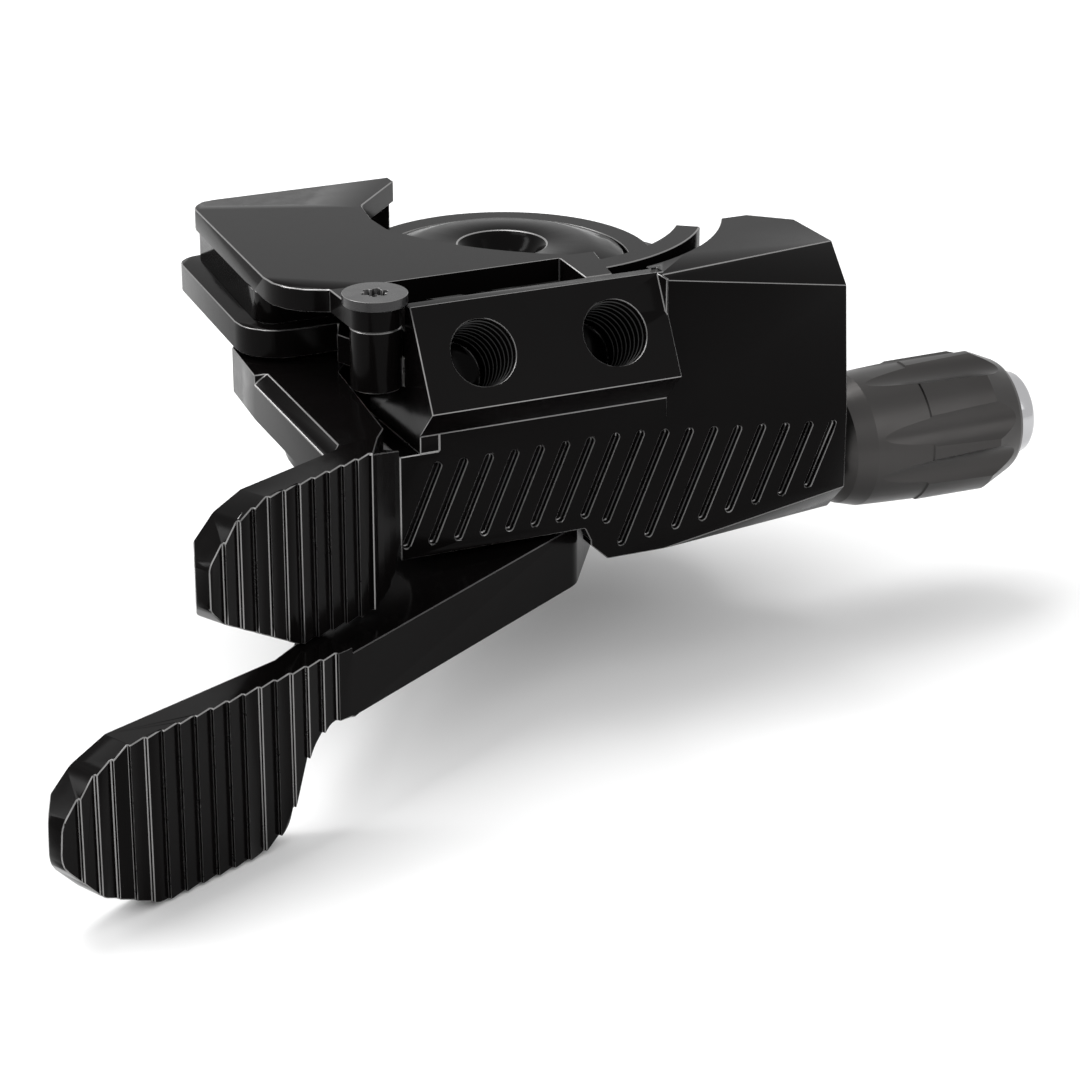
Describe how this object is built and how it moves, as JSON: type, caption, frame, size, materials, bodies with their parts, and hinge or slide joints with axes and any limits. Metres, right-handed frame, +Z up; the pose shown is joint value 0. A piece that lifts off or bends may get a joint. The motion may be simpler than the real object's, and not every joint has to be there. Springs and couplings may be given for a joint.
{
  "type": "two lever cable remote for a bicycle handlebar",
  "caption": "Compact under-bar cable remote with a long ratchet lever, a short release lever, a clamp lug with threaded holes and a fluted barrel adjuster.",
  "frame": {"origin": "middle of the sloping clamp face, between its two threaded holes", "axes": "+X along the cable towards the barrel adjuster, +Y away from the rider's thumb, +Z up along the pivot bolt"},
  "size_m": [0.0892, 0.0606, 0.0321],
  "materials": {
    "black_anodised": "satin black anodised",
    "dark_knob": "dark satin anodised",
    "black_steel": "black oxide",
    "bronze": "plain bearing bronze",
    "spool_alloy": "plain machined",
    "hard_steel": "ground",
    "slip_washer": "smooth",
    "black_rubber": "matte",
    "bright_ferrule": "polished",
    "spring_steel": "bright wire"
  },
  "bodies": {
    "frame": {"housing": "black_anodised", "top_plate": "black_anodised", "plate_screw": "black_steel", "rear_screws": "black_steel", "axle_bolt": "black_anodised", "axle_sleeve": "bronze", "axle_washer": "slip_washer", "axle_nut": "black_steel", "lever_cover": "black_steel", "spool_washer": "slip_washer", "hold_pawl_pin": "hard_steel", "hold_pawl_spring": "spring_steel", "adjuster_washer": "black_rubber", "detent_spring": "spring_steel", "end_ferrule": "bright_ferrule"},
    "release_arm": {"release_lever": "black_anodised", "release_spring": "spring_steel"},
    "spool": {"cable_spool": "spool_alloy"},
    "hold": {"hold_pawl": "hard_steel"},
    "main_arm": {"main_lever": "black_anodised", "lever_spring": "spring_steel", "drive_pawl_pin": "hard_steel", "drive_pawl_spring": "spring_steel"},
    "drive": {"drive_pawl": "hard_steel"},
    "knob": {"barrel_adjuster": "dark_knob"}
  },
  "joints": [
    {"name": "main_lever_push", "type": "hinge", "parent": "frame", "child": "main_arm", "pos_m": [0.0052, 0.0202, -0.018], "axis": [0, 0, -1], "range_deg": [0, 25], "stiffness_Nm_per_rad": 0.12, "springref_deg": -34.38},
    {"name": "release_lever_push", "type": "hinge", "parent": "frame", "child": "release_arm", "pos_m": [0.0052, 0.0202, -0.005], "axis": [0, 0, -1], "range_deg": [0, 8], "stiffness_Nm_per_rad": 0.12, "springref_deg": -28.65},
    {"name": "spool_turn", "type": "hinge", "parent": "frame", "child": "spool", "pos_m": [0.0052, 0.0202, -0.012], "axis": [0, 0, -1], "range_deg": [0, 25]},
    {"name": "hold_pawl_swing", "type": "hinge", "parent": "frame", "child": "hold", "pos_m": [0.00301, 0.03261, -0.0101], "axis": [0, 0, 1], "range_deg": [0, 16]},
    {"name": "drive_pawl_swing", "type": "hinge", "parent": "main_arm", "child": "drive", "pos_m": [-0.00414, 0.01366, -0.017], "axis": [0, 0, 1], "range_deg": [0, 8], "stiffness_Nm_per_rad": 0.002, "springref_deg": -17.19},
    {"name": "adjuster_turn", "type": "hinge", "parent": "frame", "child": "knob", "pos_m": [0.033, 0.0056, -0.01385], "axis": [1, 0, 0], "continuous": true}
  ],
  "couplings": [
    {"joint": "spool_turn", "follows": "main_lever_push", "ratio": 1},
    {"joint": "hold_pawl_swing", "follows": "release_lever_push", "ratio": 2}
  ]
}
